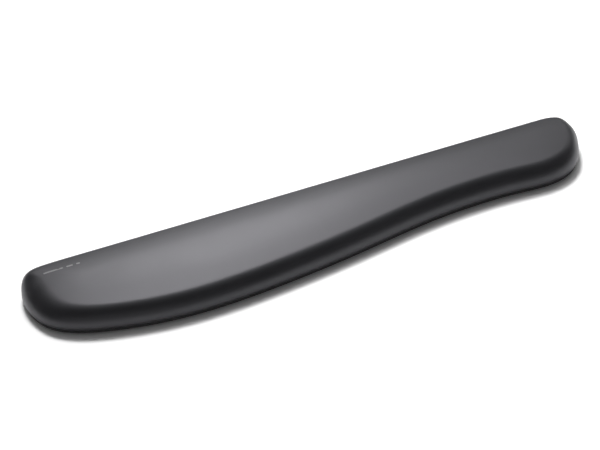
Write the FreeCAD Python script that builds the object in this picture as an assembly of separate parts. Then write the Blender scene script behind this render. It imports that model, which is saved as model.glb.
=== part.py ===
"""Gel keyboard wrist rest.

A long, low pad that lies on the desk in front of a keyboard. Its back edge is straight and steep, so
that it closes up to the keyboard; its front edge is a slow S-curve, deep under the left hand and
narrow towards the number pad, with a slight flare at the right end. The top is a gently crowned
cushion that rolls over a large soft shoulder at the front and at both ends.

It is built in layers, all bonded, with nothing that moves: a rubber sole in a shallow recess of a
stiff base plate, a foam core with a pocket, a gel pad sealed between two films in that pocket, and a
leather-look cover drawn over the lot and turned in between the core and the base plate.

Frame: millimetres, +X along the length to the right-hand end, +Y towards the keyboard, +Z up.
Origin: on the desk, at the centre of the plan's bounding box.
"""

import FreeCAD
import Part
import math
import os

V = FreeCAD.Vector

# ---------------------------------------------------------------- driving dimensions (mm)
LENGTH = 450.0  # overall, along X
DEPTH = 79.6  # overall, at the deep left-hand part
BASE_TOP = 3.0  # top of the base plate's rim
RIM_LOW = 0.9  # underside of the base plate's rim
RIM_ROUND = 0.6  # rounding of the rim's lower edge
RECESS_ROOF = 1.6  # roof of the recess that takes the sole
SOLE_T = 1.45  # rubber sole
TAPE_T = 0.15  # every adhesive layer
SKIN_T = 0.8  # cover
SKIN_LOW = BASE_TOP + TAPE_T  # underside of the cover's turned-in edge
WIDEST_Z = 6.0  # height of the cover's widest line
WALL_TOP = 20.35  # top of the shoulder on the keyboard side, before the crown is added
FRONT_DROP = 1.5  # how much lower the shoulder stands at the front
CROWN = 3.1  # extra height of the crown along the crest
CREST = 0.57  # the crest's place, as a share of the depth from the front
FRONT_ROLL = 11.0  # shoulder width at the front and the ends
FRONT_RISE = 11.8  # shoulder height at the front and the ends
BACK_ROLL = 5.0  # shoulder width and height along the keyboard side
BACK_RISE = 5.0
PLATE_INSET = 1.2  # base plate's rim, in from the cover's widest line
RECESS_INSET = 3.2
SOLE_INSET = 3.5
TURN_IN = 9.0  # inner edge of the cover's turned-in border
BOSS_INSET = 9.4  # raised field of the base plate inside that border
FILM_T = 0.25  # gel pouch film
GEL_FLOOR = 12.5  # pocket floor
MARK_T = 0.1  # printed mark
LABEL = (58.0, 17.0, 0.1)
WINDOW = (62.0, 21.0)  # window in the sole for the label
WINDOW_X = -20.0
CORNER_R = 2.5

# The cover's widest line in plan: x from the left end, y from the keyboard edge (negative is forward).
# The first seven points are the straight edge.
PLAN = [
    (60.0, 0.0), (120.0, 0.0), (180.0, 0.0), (240.0, 0.0), (300.0, 0.0), (360.0, 0.0), (410.0, 0.0),
    (431.5, -0.1), (444.6, -4.0), (450.0, -16.4), (446.6, -29.4), (440.8, -40.2), (432.6, -48.6),
    (419.0, -54.9), (402.0, -56.7), (383.0, -55.4), (347.7, -54.7), (308.2, -57.5), (268.8, -63.6),
    (228.8, -70.2), (189.3, -75.2), (149.3, -78.8), (109.8, -79.5), (75.0, -76.1), (45.0, -69.5),
    (21.9, -60.8), (6.9, -48.2), (0.8, -32.4), (0.6, -15.8), (6.9, -3.0), (21.0, -0.1),
]  # fmt: skip
SPINE_LEFT, SPINE_RIGHT = 44.0, 411.0  # ends of the crown's ridge, x from the left end
RING = 120  # stations round the plan

parts_dir = "parts"
os.makedirs(parts_dir, exist_ok=True)


# ---------------------------------------------------------------- plan geometry
def periodic(points, parameters=None):
    c = Part.BSplineCurve()
    if parameters:
        c.interpolate(Points=points, PeriodicFlag=True, Parameters=parameters)
    else:
        c.interpolate(Points=points, PeriodicFlag=True)
    return c


def stations():
    """RING points evenly round the plan, with the inward normal at each, in the part's frame."""
    raw = [V(x - LENGTH / 2, y + DEPTH / 2, 0) for x, y in PLAN]
    curve = periodic(raw)
    wire = Part.Wire([curve.toShape()])
    pts = wire.discretize(Number=RING * 8 + 1)[:-1]
    n = len(pts)
    # the straight edge is exactly straight
    top = DEPTH / 2
    pts = [
        V(p.x, top, 0)
        if p.y > top - 0.25 and -LENGTH / 2 + 24 < p.x < LENGTH / 2 - 22
        else V(p.x, min(p.y, top), 0)
        for p in pts
    ]
    out = []
    for k in range(RING):
        i = k * 8
        a, b = pts[(i - 3) % n], pts[(i + 3) % n]
        t = (b - a).normalize()
        inward = V(t.y, -t.x, 0)
        out.append((pts[i], inward))
    # points run along the keyboard edge towards +X, so inward is to the right of travel
    return out


STATIONS = stations()


def smooth(values, rounds):
    """Ring smoothing of a list of numbers or vectors."""
    n = len(values)
    for _ in range(rounds):
        values = [
            values[(i - 1) % n] * 0.25 + values[i] * 0.5 + values[(i + 1) % n] * 0.25
            for i in range(n)
        ]
    return values


def loop_inset(d, rounds=6):
    """The plan moved inwards by d, rounded where a corner is tighter than d."""
    move = smooth([n * d for _, n in STATIONS], rounds if d > 4 else 1)
    return [p + m for (p, _), m in zip(STATIONS, move)]


# share of each station that belongs to the steep keyboard side (1) or to the soft shoulder (0)
BACKNESS = smooth([max(0.0, min(1.0, (-n.y - 0.35) / 0.6)) for _, n in STATIONS], 5)
ROLL = [BACK_ROLL * w + FRONT_ROLL * (1 - w) for w in BACKNESS]
RISE = [BACK_RISE * w + FRONT_RISE * (1 - w) for w in BACKNESS]
ROLL_MOVE = smooth([n * r for (_, n), r in zip(STATIONS, ROLL)], 7)


def edge_lines(x):
    """y of the keyboard edge and of the front edge at x."""
    ends = []
    for keep in (lambda n: n.y < -0.5, lambda n: n.y > 0.3):
        near = sorted(((abs(p.x - x), p.y) for p, n in STATIONS if keep(n)))[:2]
        (d0, y0), (d1, y1) = near
        ends.append((y0 * d1 + y1 * d0) / max(d0 + d1, 1e-6))
    return ends


def clamp_x(x):
    return max(-LENGTH / 2 + SPINE_LEFT, min(-LENGTH / 2 + SPINE_RIGHT, x))


EDGES = {}


def edges_at(x):
    x = round(clamp_x(x), 2)
    if x not in EDGES:
        EDGES[x] = edge_lines(x)
    return EDGES[x]


def crest_y(x):
    yb, yf = edges_at(x)
    return CREST * yb + (1 - CREST) * yf


def spine_points():
    out = []
    for p, n in STATIONS:
        x = clamp_x(p.x)
        out.append(V(x, crest_y(x), 0))
    return smooth(out, 4)


def drop(q):
    """How much lower the top stands at q than along the keyboard edge."""
    yb, yf = edges_at(q.x)
    f = max(0.0, min(1.0, (yb - q.y) / (yb - yf)))
    return FRONT_DROP * f * f * (3 - 2 * f)


SPINE = spine_points()

# cover profile below the widest line: inset and height
TUCK = [(2.4, SKIN_LOW), (1.55, 3.22), (0.95, 3.52), (0.5, 4.05), (0.16, 4.9), (0.0, WIDEST_Z)]
CROWN_STEPS = (0.18, 0.38, 0.60, 0.82)
FILM_ROW, GEL_ROW = 15, 16  # rows of the cushion's surface where the pouch and the pocket begin


def cover_rows(t=0.0):
    """Rows round the cover's outer surface, moved inwards by the thickness t along the surface."""
    rows = []
    for k in range(6):  # the tuck
        prev, nxt = TUCK[max(k - 1, 0)], TUCK[min(k + 1, 5)]
        tx, tz = nxt[0] - prev[0], nxt[1] - prev[1]
        if k == 0:
            tx, tz = -1.0, 0.0
        if k == 5:
            tx, tz = 0.0, 1.0
        ln = math.hypot(tx, tz)
        q, z = TUCK[k][0] + tz / ln * t, TUCK[k][1] - tx / ln * t
        rows.append([p + n * q + V(0, 0, z) for p, n in STATIONS])
    rows.append(  # the wall
        [
            p + n * t + V(0, 0, (WIDEST_Z + WALL_TOP - rise - drop(p)) / 2)
            for (p, n), rise in zip(STATIONS, RISE)
        ]
    )
    for k in range(10):  # the shoulder
        a = math.radians(10.0 * k)
        row = []
        for i, (p, n) in enumerate(STATIONS):
            roll, rise = ROLL_MOVE[i], RISE[i]
            r = roll.Length
            nx, nz = math.cos(a) / r, math.sin(a) / rise
            ln = math.hypot(nx, nz)
            base = p + roll * (1 - math.cos(a) + t * nx / ln / r)
            share = min((base - p).Length / (SPINE[i] - p).Length, 1)
            z = WALL_TOP - drop(base) - rise + rise * math.sin(a) - t * nz / ln
            row.append(V(base.x, base.y, z + CROWN * (1 - (1 - share) ** 2)))
        rows.append(row)
    for s in CROWN_STEPS:  # the crown
        row = []
        for i, (p, n) in enumerate(STATIONS):
            start = p + ROLL_MOVE[i]
            base = start + (SPINE[i] - start) * s
            share = min((base - p).Length / (SPINE[i] - p).Length, 1)
            z = WALL_TOP - drop(base) - t + CROWN * (1 - (1 - share) ** 2)
            row.append(V(base.x, base.y, z))
        rows.append(row)
    z = sum(q.z for q in rows[-1]) / RING
    rows[-1] = [V(q.x, q.y, z) for q in rows[-1]]
    return rows


def through(points):
    """Poles of the even periodic cubic that passes through a ring of points."""
    n = len(points)
    poles = list(points)
    for _ in range(40):
        poles = [
            (points[i] * 6 - poles[(i - 1) % n] - poles[(i + 1) % n]) * 0.25 for i in range(n)
        ]
    return poles


def ring_surface(rows):
    poles = [through(r) for r in rows]
    m = len(rows)
    grid = [[poles[v][u] for v in range(m)] for u in range(RING)]
    s = Part.BSplineSurface()
    s.buildFromPolesMultsKnots(
        grid,
        [1] * (RING + 1),
        [4] + [1] * (m - 4) + [4],
        [float(i) for i in range(RING + 1)],
        [float(i) for i in range(m - 2)],
        True,
        False,
        3,
        3,
    )
    return s


def ring_curve(poles):
    c = Part.BSplineCurve()
    c.buildFromPolesMultsKnots(
        poles, [1] * (RING + 1), [float(i) for i in range(RING + 1)], True, 3
    )
    return c


def moved(surface, dz):
    s = surface.copy()
    s.translate(V(0, 0, dz))
    return s


def band(surface, v0, v1):
    return surface.toShape(0.0, float(RING), float(v0), float(v1))


def row_poles(surface, v):
    return surface.vIso(float(v)).getPoles()


def loop_poles(points):
    return through(points)


def at_height(poles, z):
    return [V(q.x, q.y, z) for q in poles]


def flat(*rings):
    """A level face inside the first ring of poles, with the others as holes."""
    wires = [Part.Wire([ring_curve(r).toShape()]) for r in rings]
    return Part.Face(wires[0]) if len(wires) == 1 else Part.makeFace(wires, "Part::FaceMakerBullseye")


def wall(low, high):
    return Part.makeRuledSurface(ring_curve(low).toShape(), ring_curve(high).toShape())


def closed(faces):
    """The solid enclosed by faces that meet edge to edge."""
    shape = Part.Compound(faces)
    shape.sewShape()
    solid = Part.Solid(shape.Shells[0])
    if solid.Volume < 0:
        solid.reverse()
    return solid


def prism(points, z0, z1):
    w = Part.Wire([ring_curve(loop_poles([V(p.x, p.y, z0) for p in points])).toShape()])
    return Part.Face(w).extrude(V(0, 0, z1 - z0))


def rounded_plate(cx, cy, lx, ly, r, z0, z1, angle=0.0):
    b = Part.makeBox(lx, ly, z1 - z0, V(cx - lx / 2, cy - ly / 2, z0))
    if r:
        edges = [
            e
            for e in b.Edges
            if abs(e.Vertexes[0].X - e.Vertexes[-1].X) < 1e-6
            and abs(e.Vertexes[0].Y - e.Vertexes[-1].Y) < 1e-6
        ]
        b = b.makeFillet(r, edges)
    if angle:
        b.rotate(V(cx, cy, 0), V(0, 0, 1), angle)
    return b


def save(name, shape):
    if shape.ShapeType == "Compound" and len(shape.Solids) == 1:
        shape = shape.Solids[0]
    ok = shape.isValid() and all(s.isClosed() for s in shape.Shells)
    bb = shape.BoundBox
    print(
        f"{name:22s} solids {len(shape.Solids)} valid {ok} volume {shape.Volume:10.1f} "
        f"x {bb.XMin:8.2f} {bb.XMax:8.2f} y {bb.YMin:7.2f} {bb.YMax:7.2f} z {bb.ZMin:6.2f} {bb.ZMax:6.2f}"
    )
    shape.exportStep(os.path.join(parts_dir, name + ".step"))
    return shape


# ---------------------------------------------------------------- base
window = rounded_plate(WINDOW_X, 0, WINDOW[0], WINDOW[1], CORNER_R, -1, 5)

# Rubber sole: lies on the desk, sits in the base plate's recess.
sole = prism(loop_inset(SOLE_INSET), 0.0, SOLE_T).cut(window)
save("sole_pad", sole)

sole_tape = prism(loop_inset(SOLE_INSET + 0.8), SOLE_T, RECESS_ROOF).cut(window)
save("sole_adhesive", sole_tape)

# Blank rating label on the plate's underside, seen through the sole's window.
label = rounded_plate(
    WINDOW_X, 0, LABEL[0], LABEL[1], 1.5, RECESS_ROOF - LABEL[2], RECESS_ROOF
)
save("rating_label", label)

# Stiff base plate: rim, recess underneath, raised field on top inside the cover's border.
plate = prism(loop_inset(PLATE_INSET), RIM_LOW, BASE_TOP)
low_edge = [e for e in plate.Edges if abs(e.BoundBox.ZMax - RIM_LOW) < 0.01 and e.BoundBox.XLength > 100]
plate = plate.makeFillet(RIM_ROUND, low_edge)
plate = plate.cut(prism(loop_inset(RECESS_INSET), RIM_LOW - 1, RECESS_ROOF))
boss_top = SKIN_LOW + SKIN_T - TAPE_T
plate = plate.fuse(prism(loop_inset(BOSS_INSET), BASE_TOP - 0.5, boss_top)).removeSplitter()
save("base_plate", plate)

# Tape under the cover's turned-in border, and the film that bonds the core to the raised field.
border_tape = prism(loop_inset(2.6), BASE_TOP, SKIN_LOW).cut(
    prism(loop_inset(BOSS_INSET - 0.2), BASE_TOP - 1, SKIN_LOW + 1)
)
save("border_tape", border_tape)
core_tape = prism(loop_inset(BOSS_INSET + 0.2), boss_top, SKIN_LOW + SKIN_T)
save("core_adhesive", core_tape)

# ---------------------------------------------------------------- cushion
# The cover's outer and inner surfaces are rings of rows from the tuck up to a small level loop
# round the spine; every layer below shares the inner surface, so the layers meet face to face.
outside = ring_surface(cover_rows(0.0))
inside = ring_surface(cover_rows(SKIN_T))
V_TOP = len(TUCK) + 1 + 10 + len(CROWN_STEPS) - 3

opening = loop_poles(loop_inset(TURN_IN))
cover = closed(
    [
        band(outside, 0, V_TOP),
        flat(row_poles(outside, V_TOP)),
        flat(row_poles(outside, 0), at_height(opening, SKIN_LOW)),
        wall(at_height(opening, SKIN_LOW), at_height(opening, SKIN_LOW + SKIN_T)),
        flat(row_poles(inside, 0), at_height(opening, SKIN_LOW + SKIN_T)),
        band(inside, 0, V_TOP),
        flat(row_poles(inside, V_TOP)),
    ]
)
save("cover_skin", cover)

under_film = moved(inside, -FILM_T)
under_rim = moved(inside, -2 * FILM_T)
film_upper = closed(
    [
        band(inside, FILM_ROW, V_TOP),
        flat(row_poles(inside, V_TOP)),
        wall(row_poles(under_film, FILM_ROW), row_poles(inside, FILM_ROW)),
        band(under_film, FILM_ROW, V_TOP),
        flat(row_poles(under_film, V_TOP)),
    ]
)
save("gel_film_upper", film_upper)

# the pocket's wall stands under GEL_ROW; the lower film lines it and laps over its edge as a rim
LINED_ROW = GEL_ROW + 0.06
film_lower = closed(
    [
        band(under_film, FILM_ROW, LINED_ROW),
        band(under_rim, FILM_ROW, GEL_ROW),
        wall(row_poles(under_rim, FILM_ROW), row_poles(under_film, FILM_ROW)),
        wall(at_height(row_poles(inside, GEL_ROW), GEL_FLOOR), row_poles(under_rim, GEL_ROW)),
        flat(at_height(row_poles(inside, GEL_ROW), GEL_FLOOR)),
        flat(at_height(row_poles(inside, LINED_ROW), GEL_FLOOR + FILM_T)),
        wall(
            at_height(row_poles(inside, LINED_ROW), GEL_FLOOR + FILM_T),
            row_poles(under_film, LINED_ROW),
        ),
    ]
)
save("gel_film_lower", film_lower)

gel = closed(
    [
        band(under_film, LINED_ROW, V_TOP),
        flat(row_poles(under_film, V_TOP)),
        wall(
            at_height(row_poles(inside, LINED_ROW), GEL_FLOOR + FILM_T),
            row_poles(under_film, LINED_ROW),
        ),
        flat(at_height(row_poles(inside, LINED_ROW), GEL_FLOOR + FILM_T)),
    ]
)
save("gel_pad", gel)

core = closed(
    [
        flat(row_poles(inside, 0)),
        band(inside, 0, FILM_ROW),
        wall(row_poles(under_rim, FILM_ROW), row_poles(inside, FILM_ROW)),
        band(under_rim, FILM_ROW, GEL_ROW),
        wall(at_height(row_poles(inside, GEL_ROW), GEL_FLOOR), row_poles(under_rim, GEL_ROW)),
        flat(at_height(row_poles(inside, GEL_ROW), GEL_FLOOR)),
    ]
)
save("foam_core", core)

# ---------------------------------------------------------------- printed mark
# A plain generic mark by the keyboard edge at the left end: one long bar and two short ones.
mark_y = DEPTH / 2 - 14.0
mx = -LENGTH / 2 + 26.0
bars = [(mx, mark_y, 15.0), (mx + 12.5, mark_y, 5.0), (mx + 19.0, mark_y, 3.0)]
lower_face = band(outside, GEL_ROW - 3, V_TOP)
blanks = [rounded_plate(cx, cy, ln, 1.5, 0.7, 15, 30) for cx, cy, ln in bars]
pieces = []
for blank in blanks:
    skin = lower_face.common(blank)
    pieces.append(skin.extrude(V(0, 0, MARK_T)))
mark = Part.Compound(pieces)
save("printed_mark", mark)
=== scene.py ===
import math

import bmesh
import bpy
import numpy as np
from mathutils import Matrix, Vector


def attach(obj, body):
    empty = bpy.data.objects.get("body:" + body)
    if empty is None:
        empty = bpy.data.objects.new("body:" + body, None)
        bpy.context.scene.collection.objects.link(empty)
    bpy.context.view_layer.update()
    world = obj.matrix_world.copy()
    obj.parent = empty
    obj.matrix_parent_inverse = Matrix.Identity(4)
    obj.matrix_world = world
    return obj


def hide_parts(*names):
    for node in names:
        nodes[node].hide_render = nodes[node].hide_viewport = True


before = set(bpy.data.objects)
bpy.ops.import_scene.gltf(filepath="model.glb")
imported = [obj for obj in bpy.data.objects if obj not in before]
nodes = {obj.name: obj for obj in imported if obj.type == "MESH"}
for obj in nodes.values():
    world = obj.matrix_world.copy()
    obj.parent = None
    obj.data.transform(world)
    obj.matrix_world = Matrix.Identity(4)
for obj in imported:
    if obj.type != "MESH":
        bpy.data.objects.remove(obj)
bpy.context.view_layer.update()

scene = bpy.context.scene
MM = 0.001

# ------------------------------------------------------------------ the pad's plan and section, mm
LENGTH, DEPTH = 450.0, 79.6
PLAN = [
    (60.0, 0.0), (120.0, 0.0), (180.0, 0.0), (240.0, 0.0), (300.0, 0.0), (360.0, 0.0), (410.0, 0.0),
    (431.5, -0.1), (444.6, -4.0), (450.0, -16.4), (446.6, -29.4), (440.8, -40.2), (432.6, -48.6),
    (419.0, -54.9), (402.0, -56.7), (383.0, -55.4), (347.7, -54.7), (308.2, -57.5), (268.8, -63.6),
    (228.8, -70.2), (189.3, -75.2), (149.3, -78.8), (109.8, -79.5), (75.0, -76.1), (45.0, -69.5),
    (21.9, -60.8), (6.9, -48.2), (0.8, -32.4), (0.6, -15.8), (6.9, -3.0), (21.0, -0.1),
]
SKIN_LOW, SKIN_T, WIDEST_Z, WALL_TOP = 3.15, 0.8, 6.0, 20.35
FRONT_ROLL, FRONT_RISE, BACK_ROLL, BACK_RISE = 11.0, 11.8, 5.0, 5.0
LEFT_ROLL = 6.5  # how much wider the soft shoulder is round the left end
CROWN_START, CROWN = 2.3, 3.1
MARK_AT = (-192.0, 25.8)  # the printed mark, where the backed sheet keeps its drawn height
FRONT_DROP = 1.5  # how much lower the shoulder stands at the front than at the keyboard side
CREST = 0.57  # the crest's place, as a share of the depth from the front
SPINE_LEFT, SPINE_RIGHT = 44.0, 411.0
NX, NY = 150, 34  # stations along each long side and each end


def periodic_spline(pts, per_seg=60):
    """Dense points of the closed cubic through pts, by chord length."""
    p = np.array(pts, float)
    n = len(p)
    h = np.linalg.norm(np.roll(p, -1, 0) - p, axis=1)
    a = np.zeros((n, n))
    rhs = np.zeros((n, 2))
    for i in range(n):
        im, ip = (i - 1) % n, (i + 1) % n
        a[i, im] += h[im]
        a[i, i] += 2 * (h[im] + h[i])
        a[i, ip] += h[i]
        rhs[i] = 6 * ((p[ip] - p[i]) / h[i] - (p[i] - p[im]) / h[im])
    m = np.linalg.solve(a, rhs)
    out = []
    t = np.linspace(0, 1, per_seg, endpoint=False)[:, None]
    for i in range(n):
        ip = (i + 1) % n
        out.append(
            p[i] * (1 - t)
            + p[ip] * t
            + h[i] ** 2 / 6 * (((1 - t) ** 3 - (1 - t)) * m[i] + (t**3 - t) * m[ip])
        )
    return np.vstack(out)


def ring_smooth(v, rounds):
    for _ in range(rounds):
        v = 0.25 * np.roll(v, 1, 0) + 0.5 * v + 0.25 * np.roll(v, -1, 0)
    return v


dense = periodic_spline(PLAN) + [-LENGTH / 2, DEPTH / 2]
straight = (dense[:, 1] > DEPTH / 2 - 0.25) & (dense[:, 0] > -LENGTH / 2 + 24) & (dense[:, 0] < LENGTH / 2 - 22)
dense[straight, 1] = DEPTH / 2
dense[:, 1] = np.minimum(dense[:, 1], DEPTH / 2)
tang = np.roll(dense, -3, 0) - np.roll(dense, 3, 0)
tang /= np.linalg.norm(tang, axis=1)[:, None]
inward = np.stack([tang[:, 1], -tang[:, 0]], 1)  # the outline runs clockwise from above
inward = ring_smooth(inward, 12)
inward /= np.linalg.norm(inward, axis=1)[:, None]
arc = np.r_[0, np.cumsum(np.linalg.norm(np.diff(dense, axis=0), axis=1))]
total = arc[-1] + np.linalg.norm(dense[0] - dense[-1])


def arc_at(x, y):
    return arc[np.argmin(np.hypot(dense[:, 0] - x, dense[:, 1] - y))]


# the four corners that split the ring into back, right end, front and left end
corner = [arc_at(-218.0, 36.5), arc_at(218.5, 37.0), arc_at(212.0, -7.0), arc_at(-208.0, -16.0)]
counts = [NX, NY, NX, NY]
stops = []
for k in range(4):
    a0, a1 = corner[k], corner[(k + 1) % 4]
    if a1 <= a0:
        a1 += total
    stops.append((a0 + (a1 - a0) * np.arange(counts[k]) / counts[k]) % total)
stops = np.concatenate(stops)
order_fix = ring_smooth(np.unwrap(stops, period=total) - np.arange(len(stops)) * total / len(stops), 10)
stops = (order_fix + np.arange(len(stops)) * total / len(stops)) % total
N = len(stops)


def sample(values):
    a = np.r_[arc - total, arc, arc + total]
    v = np.vstack([values] * 3)
    return np.stack([np.interp(stops, a, v[:, c]) for c in range(values.shape[1])], 1)


P = sample(dense)
IN = sample(inward)
IN /= np.linalg.norm(IN, axis=1)[:, None]
wide = ring_smooth(np.clip((-IN[:, 1] - 0.35) / 0.6, 0, 1), 16)
left_end = ring_smooth(np.clip((IN[:, 0] - 0.35) / 0.5, 0, 1), 12)
ROLL = BACK_ROLL * wide + FRONT_ROLL * (1 - wide) + LEFT_ROLL * left_end
RISE = BACK_RISE * wide + FRONT_RISE * (1 - wide)
ROLLV = ring_smooth(IN * ROLL[:, None], 22)
ROLL_LEN = np.linalg.norm(ROLLV, axis=1)

LO, HI = -LENGTH / 2 + SPINE_LEFT, -LENGTH / 2 + SPINE_RIGHT
back_m, front_m = dense[inward[:, 1] < -0.5], dense[inward[:, 1] > 0.3]
back_m, front_m = back_m[np.argsort(back_m[:, 0])], front_m[np.argsort(front_m[:, 0])]


def y_back(x):
    return np.interp(x, back_m[:, 0], back_m[:, 1])


def y_front(x):
    return np.interp(x, front_m[:, 0], front_m[:, 1])


def y_mid(x):
    return CREST * y_back(x) + (1 - CREST) * y_front(x)


SP = ring_smooth(np.stack([np.clip(P[:, 0], LO, HI), y_mid(np.clip(P[:, 0], LO, HI))], 1), 10)


def rho(x, y):
    """0 on the spine, 1 on the outline."""
    x, y = np.asarray(x, float), np.asarray(y, float)
    xc = np.clip(x, LO, HI)
    half = np.where(y > y_mid(xc), y_back(xc) - y_mid(xc), y_mid(xc) - y_front(xc))
    out = np.abs(y - y_mid(xc)) / half
    for end, sign in ((LO, -1), (HI, 1)):
        s = np.array([end, y_mid(end)])
        rel = dense - s
        th = np.arctan2(rel[:, 1], sign * rel[:, 0])
        keep = sign * rel[:, 0] > -8
        o = np.argsort(th[keep])
        rr = np.linalg.norm(rel, axis=1)[keep][o]
        here = sign * (x - end) > 0
        ang = np.arctan2(y - s[1], sign * (x - s[0]))
        r = np.hypot(x - s[0], y - s[1]) / np.interp(ang, th[keep][o], rr)
        out = np.where(here, r, out)
    return np.clip(out, 0, 1)


def drop(x, y):
    """The front's lower shoulder: 0 at the keyboard side, FRONT_DROP at the front, eased."""
    xc = np.clip(x, LO, HI)
    f = np.clip((y_back(xc) - y) / (y_back(xc) - y_front(xc)), 0, 1)
    return FRONT_DROP * f * f * (3 - 2 * f)


TUCK = [(2.4, SKIN_LOW), (1.95, 3.16), (1.5, 3.24), (1.1, 3.42), (0.75, 3.7), (0.45, 4.1), (0.2, 4.65), (0.06, 5.3), (0.0, WIDEST_Z)]


def section_rows(t=0.0, crown=CROWN, shoulder=14, steps=(0.12, 0.26, 0.4, 0.54)):
    """Rows of the cover's outer surface, from the tuck up, moved inwards by t."""
    rows = []
    for k, (q, z) in enumerate(TUCK):
        a, b = TUCK[max(k - 1, 0)], TUCK[min(k + 1, len(TUCK) - 1)]
        tx, tz = b[0] - a[0], b[1] - a[1]
        if k == 0:
            tx, tz = -1.0, 0.0
        if k == len(TUCK) - 1:
            tx, tz = 0.0, 1.0
        ln = math.hypot(tx, tz)
        q, z = q + tz / ln * t, z - tx / ln * t
        rows.append(np.c_[P + IN * q, np.full(N, z)])
    top = WALL_TOP - RISE - drop(P[:, 0], P[:, 1])
    for f in (0.35, 0.7):
        rows.append(np.c_[P + IN * t, WIDEST_Z + (top - WIDEST_Z) * f])
    for k in range(shoulder + 1):
        a = math.radians(90.0 * k / shoulder)
        nx, nz = math.cos(a) / ROLL_LEN, math.sin(a) / RISE
        ln = np.hypot(nx, nz)
        base = P + ROLLV * ((1 - math.cos(a)) + t * nx / ln / ROLL_LEN)[:, None]
        g = 1 - rho(base[:, 0], base[:, 1]) ** 2
        low = drop(P[:, 0], P[:, 1]) - drop(base[:, 0], base[:, 1])
        rows.append(np.c_[base, top + low + RISE * math.sin(a) - t * nz / ln + crown * g])
    start = P + ROLLV
    for s in steps:
        base = start + (SP - start) * s
        g = 1 - rho(base[:, 0], base[:, 1]) ** 2
        rows.append(np.c_[base, WALL_TOP - drop(base[:, 0], base[:, 1]) - t + crown * g])
    return rows


def patch(ring, t, crown):
    """Grid of points inside the last ring: the ring is the border of an NX by NY patch."""
    b = ring[: NX + 1]
    r = ring[NX : NX + NY + 1]
    f = ring[NX + NY : 2 * NX + NY + 1][::-1]
    l = np.vstack([ring[2 * NX + NY :], ring[:1]])[::-1]
    u = np.linspace(0, 1, NX + 1)[:, None, None]
    v = np.linspace(0, 1, NY + 1)[None, :, None]
    g = (
        (1 - v) * b[:, None] + v * f[:, None] + (1 - u) * l[None] + u * r[None]
        - (1 - u) * (1 - v) * b[0] - u * (1 - v) * b[-1] - (1 - u) * v * f[0] - u * v * f[-1]
    )
    x, y = g[1:-1, 1:-1, 0], g[1:-1, 1:-1, 1]
    g[1:-1, 1:-1, 2] = WALL_TOP - drop(x, y) - t + crown * (1 - rho(x, y) ** 2)
    return g


def grid_mesh(name, rows, end_patch=None, start_cap=False, flip=False):
    """A mesh from rings of N points; end_patch closes the last ring."""
    verts = [tuple(p * MM) for row in rows for p in row]
    faces = []
    for k in range(len(rows) - 1):
        for i in range(N):
            j = (i + 1) % N
            faces.append((k * N + i, (k + 1) * N + i, (k + 1) * N + j, k * N + j))
    if end_patch is not None:
        base = (len(rows) - 1) * N
        index = np.zeros((NX + 1, NY + 1), int)
        index[:, 0] = base + np.arange(NX + 1)
        index[NX, :] = base + NX + np.arange(NY + 1)
        index[:, NY] = base + NX + NY + np.arange(NX + 1)[::-1]
        index[0, :] = base + (2 * NX + NY + np.arange(NY + 1)[::-1]) % N
        index[0, 0] = base
        for u in range(1, NX):
            for v in range(1, NY):
                index[u, v] = len(verts)
                verts.append(tuple(end_patch[u, v] * MM))
        for u in range(NX):
            for v in range(NY):
                faces.append((index[u, v], index[u, v + 1], index[u + 1, v + 1], index[u + 1, v]))
    if start_cap:
        faces.append(tuple(range(N)))
    if flip:
        faces = [f[::-1] for f in faces]
    me = bpy.data.meshes.new(name)
    me.from_pydata(verts, [], faces)
    me.validate()
    bm = bmesh.new()
    bm.from_mesh(me)
    bmesh.ops.recalc_face_normals(bm, faces=bm.faces)
    bm.to_mesh(me)
    bm.free()
    me.shade_smooth()
    o = bpy.data.objects.new(name, me)
    scene.collection.objects.link(o)
    return o


def coords(o):
    co = np.zeros(len(o.data.vertices) * 3)
    o.data.vertices.foreach_get("co", co)
    return co.reshape(-1, 3)


def set_coords(o, co):
    o.data.vertices.foreach_set("co", np.ascontiguousarray(co, dtype=np.float32).ravel())
    o.data.update()


# ------------------------------------------------------------------ cover: draw, inflate, thicken
outer_rows = section_rows(0.0, CROWN_START)
outer_patch = patch(outer_rows[-1], 0.0, CROWN_START)
skin = grid_mesh("cover_leather", outer_rows, outer_patch)
rest = coords(skin)
R_OUT = len(outer_rows)


def inflate(o, pinned, cap, frames=20, pressure=4.0):
    """Cloth with pressure on o, its result capped and returned as a move from the start."""
    start = coords(o)
    vg = o.vertex_groups.new(name="pin")
    for i, w in enumerate(pinned):
        if w > 0:
            vg.add([i], float(w), "REPLACE")
    m = o.modifiers.new("pad", "CLOTH")
    s = m.settings
    s.quality = 6
    s.mass = 0.3
    s.tension_stiffness = s.compression_stiffness = 40
    s.shear_stiffness = 30
    s.bending_stiffness = 20
    s.use_pressure = True
    s.uniform_pressure_force = pressure
    s.vertex_group_mass = "pin"
    s.effector_weights.gravity = 0.0
    m.collision_settings.use_collision = False
    m.point_cache.frame_start, m.point_cache.frame_end = 1, frames
    for f in range(1, frames + 1):
        scene.frame_set(f)
    dg = bpy.context.evaluated_depsgraph_get()
    ev = o.evaluated_get(dg)
    co = np.zeros(len(ev.data.vertices) * 3)
    ev.data.vertices.foreach_get("co", co)
    co = co.reshape(-1, 3)
    o.modifiers.remove(m)
    o.vertex_groups.remove(vg)
    scene.frame_set(1)
    move = co - start
    d = np.linalg.norm(move, axis=1)[:, None]
    move = np.where(d > 1e-9, move / np.maximum(d, 1e-9) * cap * np.tanh(d / cap), 0)
    return start, move


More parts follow.
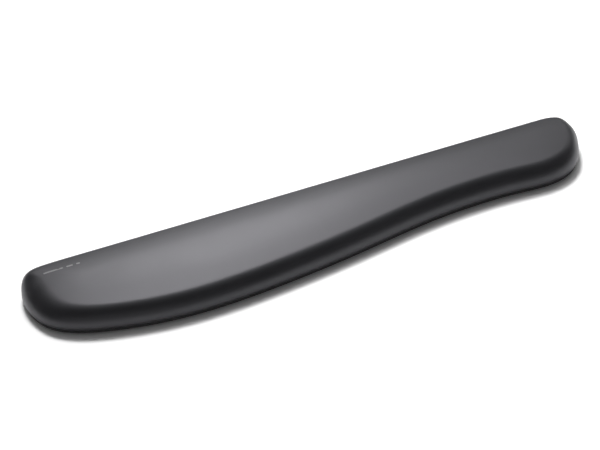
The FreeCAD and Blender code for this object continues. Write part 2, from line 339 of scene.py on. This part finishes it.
def even_out(xy, values, weight, cell=2.0, sigma=8.0):
    """values smoothed over the plan, as on an even grid, so that the mesh's own spacing leaves no step."""
    gx, gy = int(480 / cell), int(110 / cell)
    i = np.clip(((xy[:, 0] + 240) / cell).astype(int), 0, gx - 1)
    j = np.clip(((xy[:, 1] + 55) / cell).astype(int), 0, gy - 1)
    total_v, total_w = np.zeros((gx, gy)), np.zeros((gx, gy))
    np.add.at(total_v, (i, j), values * weight)
    np.add.at(total_w, (i, j), weight)
    have = total_w > 0
    total_v[have] /= total_w[have]
    total_w = have.astype(float)
    r = int(3 * sigma / cell)
    kern = np.exp(-0.5 * (np.arange(-r, r + 1) * cell / sigma) ** 2)
    for axis in (0, 1):
        total_v = np.apply_along_axis(lambda v: np.convolve(v, kern, "same"), axis, total_v)
        total_w = np.apply_along_axis(lambda v: np.convolve(v, kern, "same"), axis, total_w)
    g = total_v / np.maximum(total_w, 1e-9)
    u = np.clip((xy[:, 0] + 240) / cell - 0.5, 0, gx - 1.001)
    v = np.clip((xy[:, 1] + 55) / cell - 0.5, 0, gy - 1.001)
    i, j = u.astype(int), v.astype(int)
    fu, fv = u - i, v - j
    return (
        g[i, j] * (1 - fu) * (1 - fv) + g[i + 1, j] * fu * (1 - fv)
        + g[i, j + 1] * (1 - fu) * fv + g[i + 1, j + 1] * fu * fv
    )


z_mm = rest[:, 2] / MM
plan_xy = rest[:, :2] / MM
pin = 1 - np.clip((z_mm - 5.0) / 9.0, 0, 1)
start, move = inflate(skin, pin, 0.0012)
# the sheet is tight: what the pressure gives is an even swell, fullest along the crest
on_top = (z_mm > 15.0).astype(float)
swell = even_out(plan_xy, move[:, 2], on_top)
swell *= (CROWN - CROWN_START) * MM / swell[z_mm > 19.0].max()
edge = np.clip((1 - rho(plan_xy[:, 0], plan_xy[:, 1]) ** 2) / 0.45, 0, 1)
swell *= edge * (2 - edge) * (z_mm > 10)
drawn = (CROWN - CROWN_START) * MM * (1 - rho(plan_xy[:, 0], plan_xy[:, 1]) ** 2) * (z_mm > 10)
near_mark = np.hypot((plan_xy[:, 0] - MARK_AT[0]) / 26.0, (plan_xy[:, 1] - MARK_AT[1]) / 12.0)
hold = np.clip(2.0 - near_mark, 0, 1)
hold = hold * hold * (3 - 2 * hold)
swell = swell * (1 - hold) + drawn * hold
for c in (-180, -90, 0, 90, 180):
    here = np.abs(plan_xy[:, 0] - c) < 1.6
    order = np.argsort(plan_xy[here, 1])
    pick = order[np.linspace(0, len(order) - 1, 16).astype(int)]
    print("swell at", c, [(round(float(plan_xy[here][q, 1])), round(float(swell[here][q] / MM), 2)) for q in pick])
lifted = start.copy()
lifted[:, 2] += swell
set_coords(skin, lifted)

# the sheet's thickness, its inner face and its turned-in border
outer = coords(skin) / MM
skin.data.update()
normals = np.zeros(len(outer) * 3)
skin.data.vertices.foreach_get("normal", normals)
normals = normals.reshape(-1, 3)
inner = outer - normals * SKIN_T
grid_out = outer[: R_OUT * N].reshape(R_OUT, N, 3)
grid_in = inner[: R_OUT * N].reshape(R_OUT, N, 3)
straight_in = section_rows(SKIN_T, CROWN_START)
for k in range(len(TUCK)):
    grid_in[k] = straight_in[k]


def border_ring(q, z):
    m = ring_smooth(IN * q, int(round(20 * q / 9.0)))
    return np.c_[P + m, np.full(N, z)]


flange = [border_ring(q, SKIN_LOW) for q in (4.0, 6.5, 8.7)]
lip = [border_ring(9.0, SKIN_LOW + 0.15), border_ring(9.0, SKIN_LOW + SKIN_T - 0.15)]
flange_in = [border_ring(q, SKIN_LOW + SKIN_T) for q in (8.7, 6.5, 4.0)]
bpy.data.objects.remove(skin)


def cover_mesh():
    me = bpy.data.meshes.new("cover_leather")
    rows = (
        [grid_in[k] for k in range(R_OUT - 1, -1, -1)]
        + flange_in[::-1] + lip[::-1] + flange[::-1]
        + [grid_out[k] for k in range(R_OUT)]
    )
    verts = [tuple(p * MM) for row in rows for p in row]
    faces = []
    for k in range(len(rows) - 1):
        for i in range(N):
            j = (i + 1) % N
            faces.append((k * N + i, (k + 1) * N + i, (k + 1) * N + j, k * N + j))
    for base, source, turn in ((0, inner, True), ((len(rows) - 1) * N, outer, False)):
        index = np.zeros((NX + 1, NY + 1), int)
        index[:, 0] = base + np.arange(NX + 1)
        index[NX, :] = base + NX + np.arange(NY + 1)
        index[:, NY] = base + NX + NY + np.arange(NX + 1)[::-1]
        index[0, :] = base + (2 * NX + NY + np.arange(NY + 1)[::-1]) % N
        index[0, 0] = base
        n = R_OUT * N
        for u in range(1, NX):
            for v in range(1, NY):
                index[u, v] = len(verts)
                verts.append(tuple(source[n] * MM))
                n += 1
        for u in range(NX):
            for v in range(NY):
                f = (index[u, v], index[u, v + 1], index[u + 1, v + 1], index[u + 1, v])
                faces.append(f[::-1] if turn else f)
    me.from_pydata(verts, [], faces)
    me.validate()
    bm = bmesh.new()
    bm.from_mesh(me)
    bmesh.ops.recalc_face_normals(bm, faces=bm.faces)
    bm.to_mesh(me)
    bm.free()
    me.shade_smooth()
    o = bpy.data.objects.new("cover_leather", me)
    scene.collection.objects.link(o)
    return o


cover = cover_mesh()
sub = cover.modifiers.new("fine", "SUBSURF")
sub.levels = sub.render_levels = 1

# ------------------------------------------------------------------ the gel pouch and the foam, under the cover
RIM_ROW, GEL_ROW = 9 + 2 + 10, 9 + 2 + 12  # the pouch's edge, and the pocket's wall
POCKET_Z, FILM_T, GAP = 12.5, 0.25, 0.03


def under(k, down, inset=0.0, z=None):
    """Row k of the cover's inner face, lowered, or flat at height z."""
    row = grid_in[k] + np.c_[IN * inset, np.zeros(N)]
    row[:, 2] = row[:, 2] - down if z is None else z
    return row


def under_patch(down, z=None):
    g = np.zeros((NX + 1, NY + 1, 3))
    g[1:-1, 1:-1] = inner[R_OUT * N :].reshape(NX - 1, NY - 1, 3)
    g[..., 2] = g[..., 2] - down if z is None else z
    return g


def pouch_rows(low, down, inset, rim):
    """Rings of a closed pouch: floor, wall, welded rim, top."""
    rows = [under(GEL_ROW, 0, inset, low), under(GEL_ROW, 0, inset, low + 1.5)]
    rows.append(under(GEL_ROW, rim, inset))
    if inset == 0.0:
        rows += [under(k, rim) for k in range(GEL_ROW - 1, RIM_ROW - 1, -1)]
        rows += [under(k, down) for k in range(RIM_ROW, R_OUT)]
    else:
        rows += [under(k, down, inset) for k in range(GEL_ROW, R_OUT)]
    return rows


film_out = pouch_rows(POCKET_Z, GAP, 0.0, 2 * FILM_T + GAP)
film_in = pouch_rows(POCKET_Z + FILM_T, FILM_T + GAP, FILM_T, 2 * FILM_T)
pouch = grid_mesh("gel_pouch_film", film_out, under_patch(GAP), start_cap=True)
lining = grid_mesh("gel_pouch_lining", film_in, under_patch(FILM_T + GAP), start_cap=True)
bm = bmesh.new()
bm.from_mesh(lining.data)
bmesh.ops.reverse_faces(bm, faces=bm.faces)
bm.from_mesh(pouch.data)
bm.to_mesh(pouch.data)
bm.free()
pouch.data.shade_smooth()
bpy.data.objects.remove(lining)

gel_rows = pouch_rows(POCKET_Z + FILM_T + GAP, FILM_T + 2 * GAP, FILM_T + GAP, 2 * FILM_T + GAP)
gel = grid_mesh("gel_filling", gel_rows, under_patch(FILM_T + 2 * GAP), start_cap=True)

foam_rows = [under(0, 0, GAP, SKIN_LOW + SKIN_T + 0.01)] + [under(k, 0, GAP) for k in range(1, RIM_ROW + 1)]
foam_rows += [under(k, 2 * FILM_T + 2 * GAP) for k in range(RIM_ROW, GEL_ROW + 1)]
foam_rows += [under(GEL_ROW, 0, 0, POCKET_Z + 2.0), under(GEL_ROW, 0, 0, POCKET_Z - GAP)]
foam = grid_mesh("foam_block", foam_rows, under_patch(0, POCKET_Z - GAP), start_cap=True)


# ------------------------------------------------------------------ materials
def new_material(name):
    m = bpy.data.materials.new(name)
    m.use_nodes = True
    nt = m.node_tree
    bsdf = nt.nodes["Principled BSDF"]
    return m, nt, bsdf


def node(nt, kind, **values):
    n = nt.nodes.new(kind)
    for k, v in values.items():
        if k in n.inputs:
            n.inputs[k].default_value = v
        else:
            setattr(n, k, v)
    return n


def math_node(nt, op, a, b=None):
    n = nt.nodes.new("ShaderNodeMath")
    n.operation = op
    for i, x in enumerate((a, b)):
        if x is None:
            continue
        if isinstance(x, (int, float)):
            n.inputs[i].default_value = x
        else:
            nt.links.new(x, n.inputs[i])
    return n.outputs[0]


def ramp(nt, fac, stops):
    n = nt.nodes.new("ShaderNodeValToRGB")
    els = n.color_ramp.elements
    while len(els) > 1:
        els.remove(els[-1])
    for k, (pos, col) in enumerate(stops):
        e = els[0] if k == 0 else els.new(pos)
        e.position = pos
        e.color = (*col, 1) if len(col) == 3 else col
    nt.links.new(fac, n.inputs["Fac"])
    return n.outputs["Color"]


def leather():
    """Smooth matt leather-look polyurethane: a fine pebble grain, very slight mottling, a soft sheen."""
    m, nt, b = new_material("pu_leather")
    tc = nt.nodes.new("ShaderNodeTexCoord")
    obj = tc.outputs["Object"]
    mott = node(nt, "ShaderNodeTexNoise", Scale=45.0, Detail=3.0, Roughness=0.55)
    nt.links.new(obj, mott.inputs["Vector"])
    col = ramp(nt, mott.outputs["Fac"], [(0.25, (0.0110, 0.0109, 0.0124)), (0.75, (0.0140, 0.0139, 0.0156))])
    nt.links.new(col, b.inputs["Base Color"])
    rough = nt.nodes.new("ShaderNodeMapRange")
    rough.inputs["To Min"].default_value = 0.365
    rough.inputs["To Max"].default_value = 0.415
    nt.links.new(mott.outputs["Fac"], rough.inputs["Value"])
    nt.links.new(rough.outputs["Result"], b.inputs["Roughness"])
    b.inputs["Specular IOR Level"].default_value = 0.55
    b.inputs["Specular Tint"].default_value = (0.945, 0.93, 1.0, 1)
    b.inputs["Sheen Weight"].default_value = 0.12
    b.inputs["Sheen Roughness"].default_value = 0.45
    b.inputs["Sheen Tint"].default_value = (0.9, 0.92, 1.0, 1)
    # pebbles 0.5 to 0.9 mm across, with a finer tooth on them
    warp = node(nt, "ShaderNodeTexNoise", Scale=900.0, Detail=2.0)
    nt.links.new(obj, warp.inputs["Vector"])
    mix = nt.nodes.new("ShaderNodeMix")
    mix.data_type = "VECTOR"
    mix.inputs["Factor"].default_value = 0.0007
    nt.links.new(obj, mix.inputs["A"])
    nt.links.new(warp.outputs["Color"], mix.inputs["B"])
    peb = node(nt, "ShaderNodeTexVoronoi", Scale=1350.0, feature="SMOOTH_F1", Smoothness=0.6)
    nt.links.new(mix.outputs["Result"], peb.inputs["Vector"])
    tooth = node(nt, "ShaderNodeTexNoise", Scale=4200.0, Detail=2.0)
    nt.links.new(obj, tooth.inputs["Vector"])
    h = math_node(nt, "ADD", math_node(nt, "MULTIPLY", peb.outputs["Distance"], -1.0), math_node(nt, "MULTIPLY", tooth.outputs["Fac"], 0.35))
    bump = nt.nodes.new("ShaderNodeBump")
    bump.inputs["Strength"].default_value = 0.35
    bump.inputs["Distance"].default_value = 0.00004
    nt.links.new(h, bump.inputs["Height"])
    nt.links.new(bump.outputs["Normal"], b.inputs["Normal"])
    return m


def plastic(name, dark, light, rough, grain, depth):
    m, nt, b = new_material(name)
    tc = nt.nodes.new("ShaderNodeTexCoord")
    n1 = node(nt, "ShaderNodeTexNoise", Scale=60.0, Detail=4.0)
    nt.links.new(tc.outputs["Object"], n1.inputs["Vector"])
    nt.links.new(ramp(nt, n1.outputs["Fac"], [(0.3, dark), (0.7, light)]), b.inputs["Base Color"])
    r = nt.nodes.new("ShaderNodeMapRange")
    r.inputs["To Min"].default_value = rough - 0.05
    r.inputs["To Max"].default_value = rough + 0.07
    nt.links.new(n1.outputs["Fac"], r.inputs["Value"])
    nt.links.new(r.outputs["Result"], b.inputs["Roughness"])
    g = node(nt, "ShaderNodeTexNoise", Scale=grain, Detail=3.0)
    nt.links.new(tc.outputs["Object"], g.inputs["Vector"])
    bump = nt.nodes.new("ShaderNodeBump")
    bump.inputs["Strength"].default_value = 0.5
    bump.inputs["Distance"].default_value = depth
    nt.links.new(g.outputs["Fac"], bump.inputs["Height"])
    nt.links.new(bump.outputs["Normal"], b.inputs["Normal"])
    return m, nt, b


LEATHER = leather()
BASE, _, _ = plastic("base_moulding", (0.010, 0.010, 0.011), (0.016, 0.016, 0.017), 0.55, 1600.0, 0.00004)
RUBBER, _, _ = plastic("sole_rubber", (0.012, 0.012, 0.012), (0.020, 0.020, 0.020), 0.8, 900.0, 0.00008)
INK, _, _ = plastic("mark_ink", (0.20, 0.20, 0.205), (0.24, 0.24, 0.245), 0.5, 3000.0, 0.00001)
LABEL, _, _ = plastic("label_stock", (0.72, 0.72, 0.70), (0.80, 0.80, 0.78), 0.45, 2500.0, 0.00001)
FILM, _, _ = plastic("pouch_film", (0.60, 0.63, 0.66), (0.70, 0.73, 0.76), 0.25, 300.0, 0.00003)
ADHESIVE, _, _ = plastic("adhesive_film", (0.62, 0.60, 0.52), (0.72, 0.70, 0.62), 0.4, 500.0, 0.00002)
GEL, _, gel_b = plastic("gel", (0.25, 0.42, 0.52), (0.30, 0.48, 0.58), 0.15, 120.0, 0.00002)
FOAM, _, _ = plastic("foam", (0.16, 0.16, 0.17), (0.26, 0.26, 0.28), 0.95, 2200.0, 0.0003)
gel_b.inputs["Transmission Weight"].default_value = 0.6
gel_b.inputs["IOR"].default_value = 1.41

cover.data.materials.append(LEATHER)
pouch.data.materials.append(FILM)
gel.data.materials.append(GEL)
foam.data.materials.append(FOAM)


def paint(name, mat):
    o = nodes[name]
    o.data.materials.clear()
    o.data.materials.append(mat)


for name, mat in (
    ("base_plate", BASE), ("sole_pad", RUBBER), ("printed_mark", INK), ("rating_label", LABEL),
    ("gel_film_upper", FILM), ("gel_film_lower", FILM), ("core_adhesive", ADHESIVE),
    ("border_tape", ADHESIVE), ("sole_adhesive", ADHESIVE), ("gel_pad", GEL), ("foam_core", FOAM),
):
    paint(name, mat)

for piece, stands_for, slot_name, fill in (
    (cover, ("cover_skin",), "leatherette", 0.9),
    (pouch, ("gel_film_upper", "gel_film_lower"), "pouch_film", 1.0),
    (gel, ("gel_pad",), "gel", 1.0),
    (foam, ("foam_core",), "foam", 1.0),
):
    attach(piece, "root")
    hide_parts(*stands_for)

# ------------------------------------------------------------------ floor, light, camera
floor_mesh = bpy.data.meshes.new("floor")
floor_mesh.from_pydata([(-6, -6, 0), (6, -6, 0), (6, 6, 0), (-6, 6, 0)], [], [(0, 1, 2, 3)])
floor = bpy.data.objects.new("floor", floor_mesh)
scene.collection.objects.link(floor)
fm, fnt, fb = new_material("floor_white")
fb.inputs["Base Color"].default_value = (0.92, 0.92, 0.92, 1)
fb.inputs["Roughness"].default_value = 0.9
fb.inputs["Specular IOR Level"].default_value = 0.1
floor.data.materials.append(fm)


def softbox(name, at, look, size_x, size_y, power, spread=180.0):
    light = bpy.data.lights.new(name, "AREA")
    light.shape = "RECTANGLE"
    light.size, light.size_y = size_x, size_y
    light.energy = power
    light.spread = math.radians(spread)
    o = bpy.data.objects.new(name, light)
    scene.collection.objects.link(o)
    o.location = at
    o.rotation_euler = (Vector(look) - Vector(at)).to_track_quat("-Z", "Y").to_euler()
    o.visible_camera = False
    return o


# a cluster of soft lamps behind the pad lights its crown; a wide one behind and one above fill in
AZ = math.radians(24.8)
P0 = Vector((-0.09, 0.0, 0.02))


def lamp(name, el, az, size_x, size_y, power):
    el = math.radians(el)
    at = P0 + 0.75 * Vector((math.sin(az) * math.cos(el), math.cos(az) * math.cos(el), math.sin(el)))
    return softbox(name, at, P0, size_x, size_y, power)


lamp("low_back", 44, AZ, 0.26, 0.16, 1.62)
lamp("high_back", 66, AZ, 0.26, 0.16, 1.3)
lamp("right_back", 50, AZ + math.radians(31), 0.26, 0.2, 0.7)
lamp("left_high", 62, AZ - math.radians(38), 0.26, 0.2, 0.45)
lamp("skim", 20, AZ, 0.26, 0.16, 0.048)
softbox("wide_back", (1.1, 2.3, 1.9), (0, 0, 0.1), 5.0, 1.2, 29.8)
softbox("top", (0.1, 0.5, 2.4), (0, 0.05, 0), 3.0, 1.4, 5.0)
softbox("front", (-0.9, -2.0, 0.7), (0, 0, 0), 2.4, 1.0, 2.8)

# the sweep's own lamp lights only the floor, so that it burns out to white away from the pad
sweep = softbox("sweep", (0.34, 2.36, 3.6), (0.0, 0.0, 0.0), 1.0, 0.7, 152.0)
only_floor = bpy.data.collections.new("only_floor")
only_floor.objects.link(floor)
sweep.light_linking.receiver_collection = only_floor

world = bpy.data.worlds.new("studio")
scene.world = world
world.use_nodes = True
bg = world.node_tree.nodes["Background"]
bg.inputs["Color"].default_value = (1.0, 1.0, 1.0, 1)
bg.inputs["Strength"].default_value = 0.11

cam_data = bpy.data.cameras.new("camera")
cam_data.sensor_width = 36.0
cam_data.sensor_fit = "HORIZONTAL"
cam_data.lens = 36.0 / (2 * math.tan(math.radians(6.0)))
cam_data.clip_end = 50.0
cam = bpy.data.objects.new("camera", cam_data)
scene.collection.objects.link(cam)
a, e = math.radians(-24.7797), math.radians(40.0)
right = Vector((math.cos(a), math.sin(a), 0))
up = Vector((-math.sin(a) * math.sin(e), math.cos(a) * math.sin(e), math.cos(e)))
back = Vector((math.sin(a) * math.cos(e), -math.cos(a) * math.cos(e), math.sin(e)))
place = Matrix((right, up, back)).transposed().to_4x4()
place.translation = Vector((-0.684994, -1.447665, 1.358338))
cam.matrix_world = place
scene.camera = cam
scene.view_settings.view_transform = "Standard"
scene.view_settings.look = "None"
